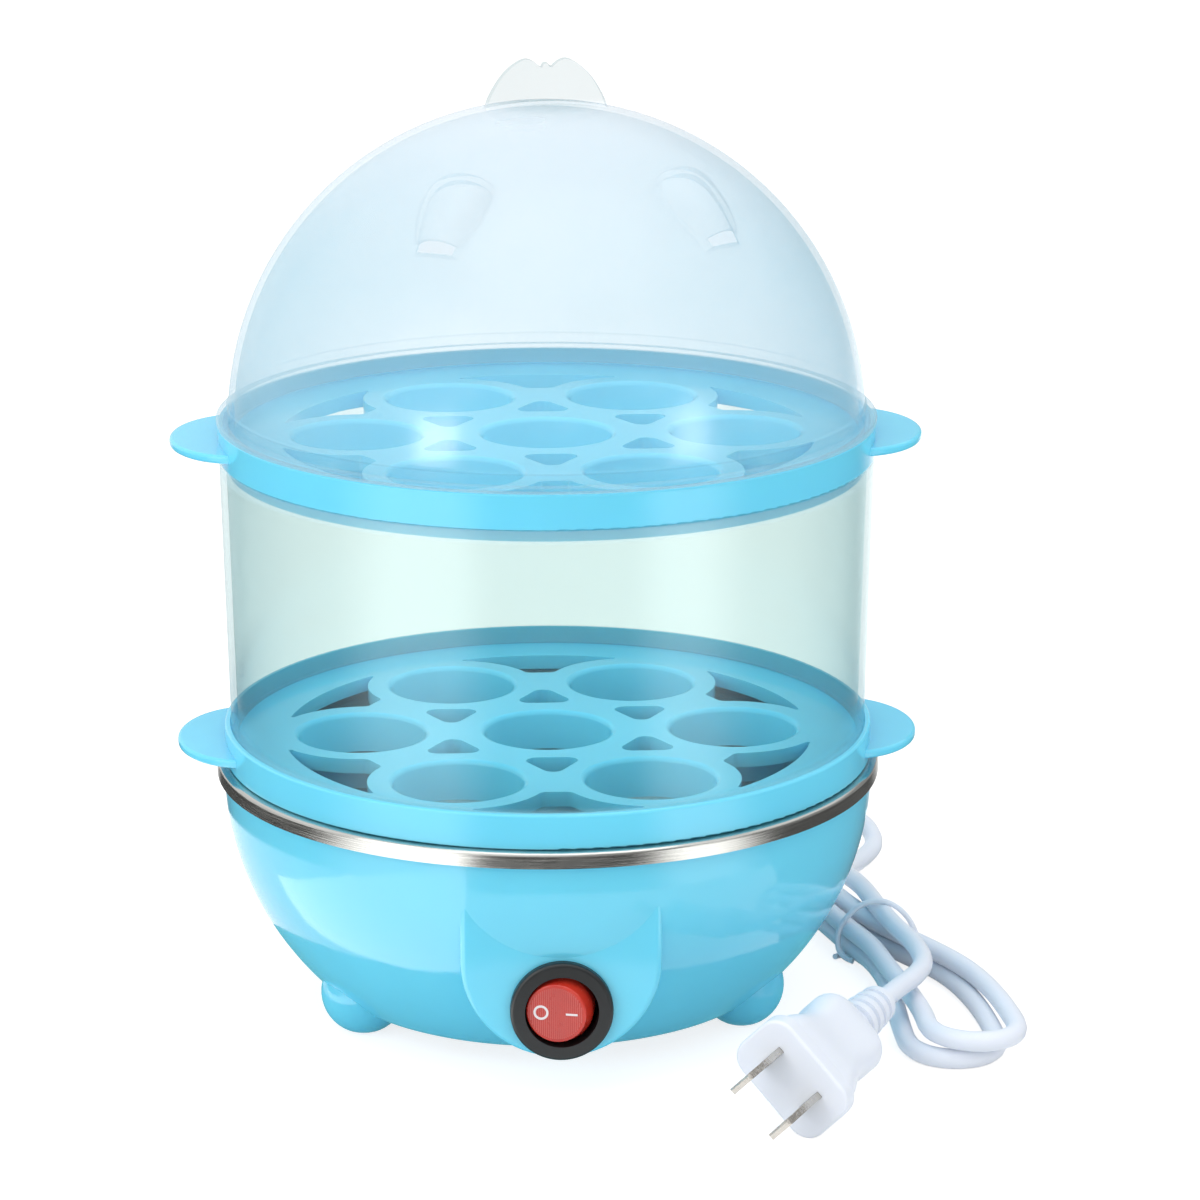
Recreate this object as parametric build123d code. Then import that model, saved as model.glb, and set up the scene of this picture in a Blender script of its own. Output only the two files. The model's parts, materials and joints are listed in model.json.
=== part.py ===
from build123d import *
import math
import os

# Table-top electric egg boiler for fourteen eggs: a moulded bowl on three ball feet with a
# pressed steel water pan, two trays, a clear ring between them, a domed steam lid and a lead.
# Millimetres.  +Z is up, +X is right, and the switch faces -Y.  The origin lies on the ground
# under the middle of the bowl.  Everything above the pan is stacked, and lifts off upwards.

# ------------------------------------------------------------ driving dimensions
seat_gap = 0.1              # air between stacked pieces
fastener_gap = 0.05         # air round a screw, pin or blade in its own hole

# ball feet, moulded with the bowl
feet_count = 3
feet_start = -30.0          # degrees
feet_ring = 51.0            # radius of the circle that carries the feet
foot_radius = 10.0
foot_flat = 0.6             # height ground off each ball
foot_wall = 1.5

# bowl
ground_clearance = 4.5      # ground to the underside of the bowl
bowl_radius = 76.4          # widest outside radius
bowl_depth = 52.2           # underside to the widest circle
bowl_drop = 71.5            # upright half axis of the bowl's oval section
bowl_wall = 1.5
bowl_corner = 8.0           # rounding between the side and the underside
rim_height = 3.0            # seat of the pan, above the widest circle
rim_neck = 0.5              # overlap of the bowl wall and the seat ring

# switch boss, a flat face on the front of the bowl
boss_inset = 3.9            # flat face inside the widest circle
boss_half_width = 22.4
boss_round_z = 32.7         # centre of the half-round lower end
boss_top_z = 56.0
boss_back = 40.0            # the boss runs back to this distance from the axis
boss_edge = 1.4
boss_face_wall = 1.8

# rocker switch
switch_z = 22.0
bezel_radius = 11.5
bezel_height = 2.1
bezel_mouth = 8.25          # radius of the opening round the rocker
barrel_radius = 9.8
barrel_depth = 14.0         # back of the bezel to the back of the barrel
barrel_floor = 2.0
barrel_clearance = 0.2      # round the barrel in the boss's hole
bezel_edge = 0.9
snap_height = 0.9           # how far the two snap wedges stand off the barrel
snap_length = 6.0
snap_width = 5.0
rocker_face_radius = 6.7
rocker_waist_radius = 7.75  # widest, level with the pins
rocker_waist = 3.6, 6.2     # where the widest part begins and ends, behind the face
rocker_back_radius = 7.5
rocker_proud = 0.6          # face in front of the bezel, at mid travel
rocker_pivot_depth = 6.2    # face to the tilt axis
rocker_depth = 9.2
rocker_wall = 1.6
rocker_front_wall = 2.2
rocker_edge = 0.4
rocker_toe_radius = 1.6     # middle rib that works the contacts
rocker_toe_reach = 0.6      # past the rocker's back edge
rocker_tilt = 12.5          # degrees each way from mid travel
rocker_pin_radius = 1.2
rocker_pin_reach = 8.9
blade_width = 4.8
blade_thickness = 0.8
blade_pitch = 5.5
blade_tip_reach = 50.0      # axis of the bowl to the tips of the switch terminals
lamp_radius = 1.25
lamp_length = 9.0

# water pan, pressed from one sheet with a turned-down band
pan_overhang = 1.6          # outside of the band beyond the widest circle of the bowl
pan_sheet = 0.6
pan_band = 3.6
pan_rim = 3.2               # width of the rim, band included
pan_depth = 14.0
pan_draft = 14.0            # degrees
pan_corner = 6.0
pan_bend = 0.9              # outside radius where the rim turns down
pan_fit = 0.2

# heater, cast plate under the pan with a tubular element crimped into its ring rib
plate_radius = 34.0
plate_thickness = 2.5
rib_inner = 21.0
rib_outer = 31.0
rib_height = 4.8
rib_mouth_margin = 4.0      # degrees of rib cut away beyond the element's open ends
element_ring = 26.0
element_radius = 3.3
element_bury = 3.0          # plate's underside to the centre of the element
element_gap = 70.0          # degrees left open at the front
element_bend = 8.0
element_tail = 5.0
element_pin_radius = 1.2
element_pin_length = 5.5
seal_length = 2.0
seal_step = 0.5             # bead inside the tube's outside

# thermostat and fuse under the plate
thermostat_flange_radius = 8.0
thermostat_flange = 3.0
thermostat_body_radius = 6.75
thermostat_body = 7.0
thermostat_blade_x = 4.2
thermostat_blade = 9.0
bracket_screw_x = 15.0
bracket_width = 17.0
bracket_sheet = 0.8
bracket_hole_gap = 0.2      # round the thermostat's body
plate_boss_radius = 2.9
plate_thread_run = 1.0      # screw hole past the boss, into the plate
fuse_y = 12.4
fuse_radius = 2.0
fuse_half_length = 5.5
fuse_lead_radius = 0.5
fuse_lead_end = 9.0
clip_width = 6.0
clip_sheet = 0.6
clip_screw_y = 18.05
clip_ear_end = 2.4          # screw to the end of the clip's ear

# fasteners, M3
screw_radius = 1.5
screw_head_radius = 2.75
screw_head = 1.8
screw_head_edge = 0.7
screw_end_gap = 0.5         # left at the end of a blind thread
plate_screw_length = 4.0

# posts that carry the pan
post_count = 3
post_ring = 44.0
post_radius = 4.75
post_top_z = 38.7
post_bore = 1.7
post_recess_radius = 3.1
post_recess = 4.0
standoff_radius = 3.5
standoff_thread = 6.0       # depth of the pan screw in its standoff

# bottom cover and its screw lugs
floor_opening = 37.0
cover_radius = 40.5
cover_thickness = 1.7
cover_register_gap = 0.4
cover_register = 2.0        # width of the ring that stands up into the opening
lug_count = 3
lug_start = 60.0            # degrees
lug_ring = 33.0
lug_radius = 3.4
lug_height = 8.0
lug_roof = 1.0              # plastic left above the screw
lug_bridge = 4.0            # width and height of the rib that ties a lug to the floor
lug_pad_radius = 4.4
cover_screw_length = 8.0
head_clearance = 0.2        # round and below a sunk screw head
cover_edge = 0.8
vent_slots = 12
vent_slot_inner = 10.0
vent_slot_outer = 25.0
vent_slot_width = 2.4

# egg trays, two alike
tray_inset = 2.0            # wall of the tray inside the pan's band
tray_web = 1.6
tray_lip = 4.0              # web's upper face to the top of the lip
tray_lip_wall = 1.2
tray_shoulder = 4.0         # web's upper face down to the seat
tray_spigot = 2.85          # seat down to the end of the spigot
tray_spigot_wall = 1.2
tray_fit = 0.2
tray_edge = 0.5
tray_skin = 0.4             # cup and hole walls start this far under the web's face
egg_hole_radius = 15.1
egg_border = 17.05          # wall of the tray to the nearest egg hole's edge
eggs_around = 6
cup_depth = 9.0
cup_foot_radius = 13.5
cup_wall = 1.2
cup_edge = 1.0
drain_border = 1.2          # flat between an egg hole and the three-sided hole's sharp corner
drain_round = 0.28          # rounding of that hole, as a share of its reach
drain_shift = 0.8
window_border = 13.7        # wall of the tray to the outer edge of the crescent windows
window_rib = 2.45           # narrowest flat between the sides of two windows
window_neck_half = 3.4      # half width of a window's inner end
window_tip = 0.5
window_round = 2.0
skirt_depth = 3.5           # web's upper face to the end of the walls round the small holes
skirt_wall = 1.2
ear_projection = 11.1       # beyond the tray's wall
ear_half_width = 22.0       # where the ear meets the tray's wall
ear_inset = 6.0             # tray's wall to the centre of the ear's oval
ear_thickness = 2.0
ear_rise = 0.4              # top of the ear above the web
ear_edge = 0.7
ear_bite = 0.3              # how far the ear is let into the tray's wall

# clear ring
ring_height = 67.9
ring_wall = 1.6
ring_fit = 0.3              # round the upper tray's spigot
ring_lip_gap = 0.4          # inside the lower tray's lip
ring_edge = 0.4

# domed lid
lid_inset = 2.4             # wall of the tray to the dome
lid_wall = 1.5
lid_flange_overhang = 0.3
lid_flange = 1.3
lid_edge = 0.5
lid_skirt = 3.0
lid_centre_drop = 1.0       # flange's underside to the centre of the dome
lid_turn = 7.5              # degrees that the lid is set round from square
comb_base_half = 2.3        # half thickness where the comb meets the dome
comb_top_half = 1.2
comb_height = 9.9
comb_nub = 0.9
vent_azimuth = 35.5
vent_elevation = 50.0
vent_half_length = 10.5
vent_bulge = 4.0
vent_axis_depth = 5.7
vent_wall = 1.3
vent_cut = 2.0              # the hollow runs on past the vent's lower end
lid_bead = 0.45             # raised line round the foot of the dome
lid_bead_width = 1.0
lid_bead_rise = 2.6         # top of the flange to the middle of the line

# mains lead
cord_radius = 2.4
cord_z = 24.0               # where the lead enters the back of the bowl
gland_pad_radius = 8.5
gland_inset = 5.9           # pad's face inside the widest circle of the bowl
gland_pad_depth = 9.0
gland_hole = 4.5
relief_flange_radius = 6.5
relief_flange = 2.5
relief_length = 30.5        # pad's face to the tip of the strain relief
relief_root_radius = 5.0
relief_tip_radius = 3.4
relief_rings = 5
relief_core_step = 1.0      # core below the rings
relief_ring_rise = 0.6      # last ring above the tip
relief_collar_radius = 5.6
relief_collar = 1.9
relief_edge = 0.8
clamp_inset = 20.5          # pad's face to the middle of the clamp
tail_spare = 10.0           # lead beyond the clamp, inside the bowl
clamp_pillar_x = 9.5
clamp_pillar_radius = 3.25
clamp_bar = 2.6
clamp_rib = 2.4
clamp_screw_depth = 8.0
clamp_screw_length = 9.0
wire_radius = 1.0
wire_gap = 0.2              # half the air between the two cores of the lead
lamp_joint = 1.4            # lamp's lead to the tip of the element's pin

# two-pin plug, lying on its corner
plug_x, plug_y = 49.1, -94.6
plug_heading = 241.4        # degrees, where the pins point
plug_roll = 44.1
plug_width, plug_height = 26.4, 16.8
plug_corner = 5.0
plug_flange = 4.0
plug_relief_end = 52.4
plug_relief_radius = 4.6
plug_relief_rings = 4
plug_ring_radius = 5.5      # first ring of the plug's strain relief
plug_ring_step = 0.33
plug_sections = [           # distance behind the face, width and height of the grip
    (4.0, 21.5, 13.8), (9.0, 23.0, 15.0), (17.0, 19.0, 13.0), (25.0, 20.0, 13.0), (33.0, 12.6, 10.4),
]
plug_body_corner = 4.6
plug_tip_wall = 0.9         # strain relief round the lead, at its tip
plug_edge = 0.8
pin_pitch = 12.7
pin_width, pin_thickness = 6.3, 1.5
pin_length = 17.0
pin_root = 12.0             # length held inside the plug
pin_hole_radius = 1.6
pin_hole_back = 3.6         # tip of the pin to the centre of its hole
pin_chamfer = 0.45

# ------------------------------------------------------------ worked-out levels and radii
foot_centre_z = foot_radius - foot_flat
bowl_widest_z = ground_clearance + bowl_depth
bowl_floor_z = ground_clearance + bowl_wall
rim_top_z = bowl_widest_z + rim_height
boss_reach = bowl_radius - boss_inset
pan_radius = bowl_radius + pan_overhang
pan_mouth = pan_radius - pan_rim
rim_outer = pan_radius - pan_sheet - pan_fit
rim_inner = pan_mouth + pan_sheet + pan_fit

pan_top_z = rim_top_z + seat_gap + pan_sheet
pan_floor_z = pan_top_z - pan_depth
pan_under_z = pan_floor_z - pan_sheet
pan_slope = math.tan(math.radians(pan_draft))

tray_radius = pan_radius - tray_inset
egg_pitch = tray_radius - egg_hole_radius - egg_border
ear_reach = tray_radius + ear_projection
ear_centre = tray_radius - ear_inset
lower_web_z = pan_top_z + seat_gap + tray_shoulder
ring_bottom_z = lower_web_z + seat_gap
ring_top_z = ring_bottom_z + ring_height
upper_web_z = ring_top_z + seat_gap + tray_shoulder
lip_inner = tray_radius - tray_lip_wall
spigot_radius = pan_mouth - tray_spigot * pan_slope - tray_fit
ring_top_radius = spigot_radius + ring_fit + ring_wall
ring_bottom_radius = lip_inner - ring_lip_gap

lid_radius = tray_radius - lid_inset
lid_flange_z = upper_web_z + tray_lip + seat_gap
lid_centre_z = lid_flange_z - lid_centre_drop

plate_top_z = pan_under_z - fastener_gap
plate_under_z = plate_top_z - plate_thickness
element_z = plate_under_z - element_bury
bracket_top_z = plate_under_z - thermostat_flange - 2 * fastener_gap
thermostat_bottom_z = bracket_top_z - thermostat_body
fuse_z = plate_under_z - fuse_radius - fastener_gap

gland_pad_reach = bowl_radius - gland_inset
relief_reach = gland_pad_reach + relief_length
clamp_y = gland_pad_reach - clamp_inset
tail_end = clamp_y - tail_spare
cover_top_z = ground_clearance - fastener_gap
cover_bottom_z = cover_top_z - cover_thickness
lug_bottom_z = bowl_floor_z
clamp_rib_z = cord_z - cord_radius
clamp_bar_z = cord_z + cord_radius + fastener_gap


# ------------------------------------------------------------ small helpers
def disc(radius, z0, z1, x=0.0, y=0.0):
    """Upright cylinder between two heights."""
    low = Align.CENTER, Align.CENTER, Align.MIN
    return Pos(x, y, z0) * Cylinder(radius, z1 - z0, align=low)


def rod_y(radius, y0, y1, x, z):
    """Cylinder that runs along Y."""
    low = Align.CENTER, Align.CENTER, Align.MIN
    return Pos(x, y0, z) * Rot(-90, 0, 0) * Cylinder(radius, y1 - y0, align=low)


def block(x0, x1, y0, y1, z0, z1):
    """Box between six faces."""
    low = Align.MIN, Align.MIN, Align.MIN
    return Pos(x0, y0, z0) * Box(x1 - x0, y1 - y0, z1 - z0, align=low)


def turned(points, corners=()):
    """Solid of revolution about Z from (radius, z) points, some of them rounded."""
    face = make_face(Polyline(*points, close=True))
    face = rounded(face, corners)
    return revolve(Plane.XZ * face, Axis.Z)


def rounded(face, corners):
    """Round chosen corners of a flat outline, given as (point, radius)."""
    for point, radius in corners:
        vertex = face.vertices().sort_by_distance(Vector(*point))[0]
        face = fillet(vertex, radius)
    return face


def around(count, radius, start=0.0):
    """Places evenly spaced round the axis, as (x, y, angle)."""
    places = []
    for step in range(count):
        angle = start + step * 360 / count
        turn = math.radians(angle)
        places.append((radius * math.cos(turn), radius * math.sin(turn), angle))
    return places


def bend_radii(points):
    """Largest even radius for each corner of a route: 0.45 of its shorter run."""
    spots = [Vector(*point) for point in points]
    radii = []
    for before, here, after in zip(spots, spots[1:], spots[2:]):
        run_in = here - before
        run_out = after - here
        half_turn = math.radians(run_in.get_angle(run_out)) / 2
        radii.append(0.45 * min(run_in.length, run_out.length) / math.tan(half_turn))
    return radii


def lead(points, radius):
    """Round lead along a route: straight runs joined by tangent arcs."""
    path = FilletPolyline(*points, radius=bend_radii(points))
    start = Plane(origin=path @ 0, z_dir=path % 0)
    return sweep(start * Circle(radius), path)


def screw(x, y, seat_z, length):
    """Pan-head screw driven upwards, with its head under the seat."""
    head = disc(screw_head_radius, seat_z - screw_head, seat_z, x, y)
    head = fillet(head.edges().group_by(Axis.Z)[0], screw_head_edge)
    return head + disc(screw_radius, seat_z, seat_z + length, x, y)


# ------------------------------------------------------------ bowl
def bowl_form(radius, drop, floor_z, corner):
    """Solid bowl: a half oval of revolution with a flat underside."""
    oval = Pos(0, bowl_widest_z) * Ellipse(radius, drop)
    corner_align = Align.MIN, Align.MIN
    window = Pos(0, floor_z) * Rectangle(radius, bowl_widest_z - floor_z, align=corner_align)
    half = oval & window
    lowest = half.vertices().group_by(Axis.Y)[0].sort_by(Axis.X)[-1]
    return revolve(Plane.XZ * fillet(lowest, corner), Axis.Z)


def boss_form(half_width, reach, top_z, edge):
    """Half-round-ended prism that carries the switch."""
    width = 2 * half_width
    outline = Pos(0, boss_round_z) * Circle(half_width)
    low = Align.CENTER, Align.MIN
    outline += Pos(0, boss_round_z) * Rectangle(width, top_z - boss_round_z, align=low)
    front = Plane(origin=(0, -boss_back, 0), x_dir=(1, 0, 0), z_dir=(0, -1, 0))
    prism = extrude(front * outline, reach - boss_back)
    if edge:
        prism = fillet(prism.edges().group_by(Axis.Y)[0], edge)
    return prism


def feet_forms(radius):
    """The three balls, whole."""
    balls = Part()
    for x, y, _ in around(feet_count, feet_ring, feet_start):
        balls += Pos(x, y, foot_centre_z) * Sphere(radius)
    return balls


def make_base_housing():
    outside = bowl_form(bowl_radius, bowl_drop, ground_clearance, bowl_corner)
    outside += boss_form(boss_half_width, boss_reach, boss_top_z, boss_edge)
    outside += disc(rim_outer, bowl_widest_z, rim_top_z)
    outside += feet_forms(foot_radius)
    outside -= block(-bowl_radius, bowl_radius, -bowl_radius, bowl_radius, -foot_radius, 0)

    inner_drop = bowl_drop - bowl_wall
    inner_corner = bowl_corner - bowl_wall
    inside = bowl_form(bowl_radius - bowl_wall, inner_drop, bowl_floor_z, inner_corner)
    inner_half = boss_half_width - bowl_wall
    inside += boss_form(inner_half, boss_reach - boss_face_wall, boss_top_z - bowl_wall, 0)
    inside += disc(bowl_radius - bowl_wall, bowl_widest_z, rim_top_z)
    inside += disc(rim_inner, bowl_widest_z + rim_neck, rim_top_z)
    inside += feet_forms(foot_radius - foot_wall)

    # posts, screw lugs and cord pillars stand on the floor, trimmed to the outside form
    fittings = Part()
    for x, y, _ in around(post_count, post_ring):
        fittings += disc(post_radius, ground_clearance, post_top_z, x, y)
    for side in (-1, 1):
        x = side * clamp_pillar_x
        fittings += disc(clamp_pillar_radius, ground_clearance, clamp_bar_z - fastener_gap, x, clamp_y)
    rib_half = clamp_rib / 2
    rib_low, rib_high = clamp_y - rib_half, clamp_y + rib_half
    fittings += block(-clamp_pillar_x, clamp_pillar_x, rib_low, rib_high, ground_clearance, clamp_rib_z)

    shell = outside - inside + (fittings & outside)
    pad_back = gland_pad_reach - gland_pad_depth
    shell += rod_y(gland_pad_radius, pad_back, gland_pad_reach, 0, cord_z)
    shell -= rod_y(gland_pad_radius, gland_pad_reach, bowl_radius, 0, cord_z)
    shell -= rod_y(gland_hole, pad_back, gland_pad_reach, 0, cord_z)
    shell -= rod_y(barrel_radius + barrel_clearance, -boss_reach, -boss_reach + boss_face_wall, 0, switch_z)

    # floor opening with its screw lugs
    shell -= disc(floor_opening, ground_clearance, bowl_floor_z)
    half = lug_bridge / 2
    bridge_end = floor_opening + half
    for x, y, angle in around(lug_count, lug_ring, lug_start):
        bridge = block(lug_ring, bridge_end, -half, half, lug_bottom_z, lug_bottom_z + lug_bridge)
        shell += disc(lug_radius, lug_bottom_z, lug_bottom_z + lug_height, x, y)
        shell += Rot(0, 0, angle) * bridge
        shell -= disc(screw_radius + fastener_gap, lug_bottom_z, lug_bottom_z + lug_height - lug_roof, x, y)
    for x, y, _ in around(post_count, post_ring):
        shell -= disc(post_bore, ground_clearance, post_top_z, x, y)
        shell -= disc(post_recess_radius, ground_clearance, ground_clearance + post_recess, x, y)
    for side in (-1, 1):
        x = side * clamp_pillar_x
        top_z = clamp_bar_z - fastener_gap
        shell -= disc(screw_radius + fastener_gap, top_z - clamp_screw_depth, top_z, x, clamp_y)
    return shell


def make_bottom_cover():
    register_z = bowl_floor_z - fastener_gap
    register_outer = floor_opening - cover_register_gap
    cover = disc(cover_radius, cover_bottom_z, cover_top_z)
    cover = fillet(cover.edges().group_by(Axis.Z)[0], cover_edge)
    ring = disc(register_outer, cover_top_z, register_z)
    ring -= disc(register_outer - cover_register, cover_top_z, register_z)
    cover += ring
    for x, y, _ in around(lug_count, lug_ring, lug_start):
        pad = disc(lug_pad_radius, cover_top_z, register_z, x, y)
        cover += pad & disc(register_outer, cover_top_z, register_z)
    for x, y, _ in around(lug_count, lug_ring, lug_start):
        sink_z = cover_bottom_z + screw_head + head_clearance
        cover -= disc(screw_head_radius + head_clearance, cover_bottom_z, sink_z, x, y)
        cover -= disc(screw_radius + fastener_gap, cover_bottom_z, register_z, x, y)
    slot_middle = (vent_slot_inner + vent_slot_outer) / 2
    slot_length = vent_slot_outer - vent_slot_inner
    slot = extrude(SlotOverall(slot_length, vent_slot_width), cover_thickness)
    for x, y, angle in around(vent_slots, slot_middle):
        cover -= Pos(x, y, cover_bottom_z) * Rot(0, 0, angle) * slot
    return cover


def make_cover_screws():
    seat_z = cover_bottom_z + screw_head + head_clearance
    screws = Part()
    for x, y, _ in around(lug_count, lug_ring, lug_start):
        screws += screw(x, y, seat_z - fastener_gap, cover_screw_length)
    return screws


# ------------------------------------------------------------ pan and its supports
def make_pan_screws():
    seat_z = ground_clearance + post_recess - fastener_gap
    length = post_top_z + seat_gap + standoff_thread - seat_z - screw_end_gap
    screws = Part()
    for x, y, _ in around(post_count, post_ring):
        screws += screw(x, y, seat_z, length)
    return screws


def make_pan_standoffs():
    bottom_z = post_top_z + seat_gap
    standoffs = Part()
    for x, y, _ in around(post_count, post_ring):
        standoff = disc(standoff_radius, bottom_z, pan_under_z - fastener_gap, x, y)
        standoff -= disc(screw_radius + fastener_gap, bottom_z, bottom_z + standoff_thread, x, y)
        standoffs += standoff
    return standoffs


def make_heater_pan():
    floor_inner = pan_mouth - pan_depth * pan_slope
    band_z = pan_top_z - pan_band
    wall_outer = pan_mouth + pan_sheet
    band_inner = pan_radius - pan_sheet
    outline = [
        (0, pan_under_z),
        (floor_inner + pan_sheet, pan_under_z),
        (wall_outer, pan_top_z - pan_sheet),
        (band_inner, pan_top_z - pan_sheet),
        (band_inner, band_z),
        (pan_radius, band_z),
        (pan_radius, pan_top_z),
        (pan_mouth, pan_top_z),
        (floor_inner, pan_floor_z),
        (0, pan_floor_z),
    ]
    corners = [
        (outline[1], pan_corner + pan_sheet),
        (outline[8], pan_corner),
        (outline[6], pan_bend),
        (outline[3], pan_bend - pan_sheet),
    ]
    return turned(outline, corners)


# ------------------------------------------------------------ heater
def element_path():
    """C-shaped ring whose ends bend forwards, out of the open side."""
    half_gap = math.radians(element_gap / 2)
    start = -math.pi / 2 + half_gap
    end_x = element_ring * math.cos(start)
    end_y = element_ring * math.sin(start)
    turn = math.pi / 2 - half_gap
    bend_x = end_x + element_bend * math.sin(half_gap)
    bend_y = end_y - element_bend * math.cos(half_gap)
    tip_x = bend_x - element_bend
    middle = math.pi - turn / 2
    mid_x = bend_x + element_bend * math.cos(middle)
    mid_y = bend_y + element_bend * math.sin(middle)
    tip_y = bend_y - element_tail
    ring = ThreePointArc((end_x, end_y), (0, element_ring), (-end_x, end_y))
    right = Line((tip_x, tip_y), (tip_x, bend_y)) + ThreePointArc(
        (tip_x, bend_y), (mid_x, mid_y), (end_x, end_y)
    )
    left = ThreePointArc((-end_x, end_y), (-mid_x, mid_y), (-tip_x, bend_y)) + Line(
        (-tip_x, bend_y), (-tip_x, tip_y)
    )
    return Pos(0, 0, element_z) * (right + ring + left), tip_x, tip_y


def element_tube(radius):
    path, tip_x, tip_y = element_path()
    section = Plane(origin=(tip_x, tip_y, element_z), z_dir=(0, 1, 0)) * Circle(radius)
    return sweep(section, path)


def make_heat_plate():
    rib_z = plate_under_z - rib_height
    plate = disc(plate_radius, plate_under_z, plate_top_z)
    rib = disc(rib_outer, rib_z, plate_under_z) - disc(rib_inner, rib_z, plate_under_z)
    half_open = math.radians(element_gap / 2 + rib_mouth_margin)
    mouth_x = 2 * rib_outer * math.sin(half_open)
    mouth_y = -2 * rib_outer * math.cos(half_open)
    mouth = make_face(Polyline((0, 0), (mouth_x, mouth_y), (-mouth_x, mouth_y), close=True))
    rib -= Pos(0, 0, rib_z) * extrude(mouth, rib_height)
    plate += rib
    plate -= element_tube(element_radius + fastener_gap)
    boss_z = bracket_top_z + fastener_gap
    for x, y in ((-bracket_screw_x, 0), (bracket_screw_x, 0), (0, clip_screw_y)):
        plate += disc(plate_boss_radius, boss_z, plate_under_z, x, y)
        plate -= disc(screw_radius + fastener_gap, boss_z, plate_under_z + plate_thread_run, x, y)
    return plate


def make_heating_element():
    return element_tube(element_radius)


def make_element_seals():
    """Ceramic beads that close the two ends of the element."""
    _, tip_x, tip_y = element_path()
    seals = Part()
    for side in (-1, 1):
        y1 = tip_y - fastener_gap
        y0 = y1 - seal_length
        bead = rod_y(element_radius - seal_step, y0, y1, side * tip_x, element_z)
        bead -= rod_y(element_pin_radius + fastener_gap, y0, y1, side * tip_x, element_z)
        seals += bead
    return seals


def make_element_pins():
    _, tip_x, tip_y = element_path()
    pins = Part()
    for side in (-1, 1):
        y1 = tip_y - fastener_gap
        pins += rod_y(element_pin_radius, y1 - element_pin_length, y1, side * tip_x, element_z)
    return pins


def make_thermostat():
    flange_z = plate_under_z - fastener_gap
    body = disc(thermostat_flange_radius, flange_z - thermostat_flange, flange_z)
    body += disc(thermostat_body_radius, thermostat_bottom_z, flange_z - thermostat_flange)
    half_width, half_thick = blade_width / 2, blade_thickness / 2
    for side in (-1, 1):
        x = side * thermostat_blade_x
        low = thermostat_bottom_z - thermostat_blade
        body += block(x - half_thick, x + half_thick, -half_width, half_width, low, thermostat_bottom_z)
    return body


def make_thermostat_bracket():
    length = 2 * (bracket_screw_x + plate_boss_radius)
    strap = SlotOverall(length, 2 * plate_boss_radius) + Circle(bracket_width / 2)
    strap -= Circle(thermostat_body_radius + bracket_hole_gap)
    for side in (-1, 1):
        strap -= Pos(side * bracket_screw_x, 0) * Circle(screw_radius + fastener_gap)
    return Pos(0, 0, bracket_top_z - bracket_sheet) * extrude(strap, bracket_sheet)


def make_plate_screws():
    screws = Part()
    for x in (-bracket_screw_x, bracket_screw_x):
        seat_z = bracket_top_z - bracket_sheet - fastener_gap
        screws += screw(x, 0, seat_z, plate_screw_length)
    seat_z = bracket_top_z - clip_sheet - fastener_gap
    screws += screw(0, clip_screw_y, seat_z, plate_screw_length)
    return screws


def make_thermal_fuse():
    turn = Rot(0, 90, 0)
    body = Pos(0, fuse_y, fuse_z) * turn * Cylinder(fuse_radius, 2 * fuse_half_length)
    return body + Pos(0, fuse_y, fuse_z) * turn * Cylinder(fuse_lead_radius, 2 * fuse_lead_end)


def make_fuse_clip():
    """Strap round the fuse with an ear under the plate's boss."""
    inner = fuse_radius + fastener_gap
    outer = inner + clip_sheet
    loop = Circle(outer) - Circle(inner)
    loop &= Pos(0, -outer) * Rectangle(2 * outer, 3 * outer)
    ear_top = bracket_top_z - fuse_z
    ear_length = clip_screw_y - fuse_y + clip_ear_end
    low = Align.MIN, Align.MAX
    ear = Pos(inner, ear_top) * Rectangle(ear_length - inner, clip_sheet, align=low)
    profile = Plane(origin=(-clip_width / 2, fuse_y, fuse_z), x_dir=(0, 1, 0), z_dir=(1, 0, 0))
    clip = extrude(profile * (loop + ear), clip_width)
    hole_low, hole_top = bracket_top_z - 2 * clip_sheet, bracket_top_z + clip_sheet
    return clip - disc(screw_radius + fastener_gap, hole_low, hole_top, 0, clip_screw_y)


# ------------------------------------------------------------ switch
def make_switch_body():
    back_y = -boss_reach - fastener_gap
    front_y = back_y - bezel_height
    rear_y = back_y + barrel_depth
    bezel = rod_y(bezel_radius, front_y, back_y, 0, switch_z)
    bezel = fillet(bezel.edges().group_by(Axis.Y)[0], bezel_edge)
    body = bezel + rod_y(barrel_radius, back_y, rear_y, 0, switch_z)
    snap_y = -boss_reach + boss_face_wall + fastener_gap
    for side in (-1, 1):
        root = side * (barrel_radius - snap_height)
        crest = side * (barrel_radius + snap_height)
        corners = (root, snap_y), (crest, snap_y), (root, snap_y + snap_length)
        wedge = make_face(Polyline(*corners, close=True))
        body += Pos(0, 0, switch_z - snap_width / 2) * extrude(wedge, snap_width)
    body -= rod_y(bezel_mouth, front_y, rear_y - barrel_floor, 0, switch_z)
    pivot_y = front_y - rocker_proud + rocker_pivot_depth
    hole = rocker_pin_radius + fastener_gap
    reach = rocker_pin_reach + fastener_gap
    body -= disc(hole, switch_z - reach, switch_z + reach, 0, pivot_y)
    half_width = blade_width / 2 + fastener_gap
    half_thick = blade_thickness / 2 + fastener_gap
    for step in (-1, 0, 1):
        x = step * blade_pitch
        low_z, high_z = switch_z - half_width, switch_z + half_width
        body -= block(x - half_thick, x + half_thick, rear_y - barrel_floor, rear_y, low_z, high_z)
    return body


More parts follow.
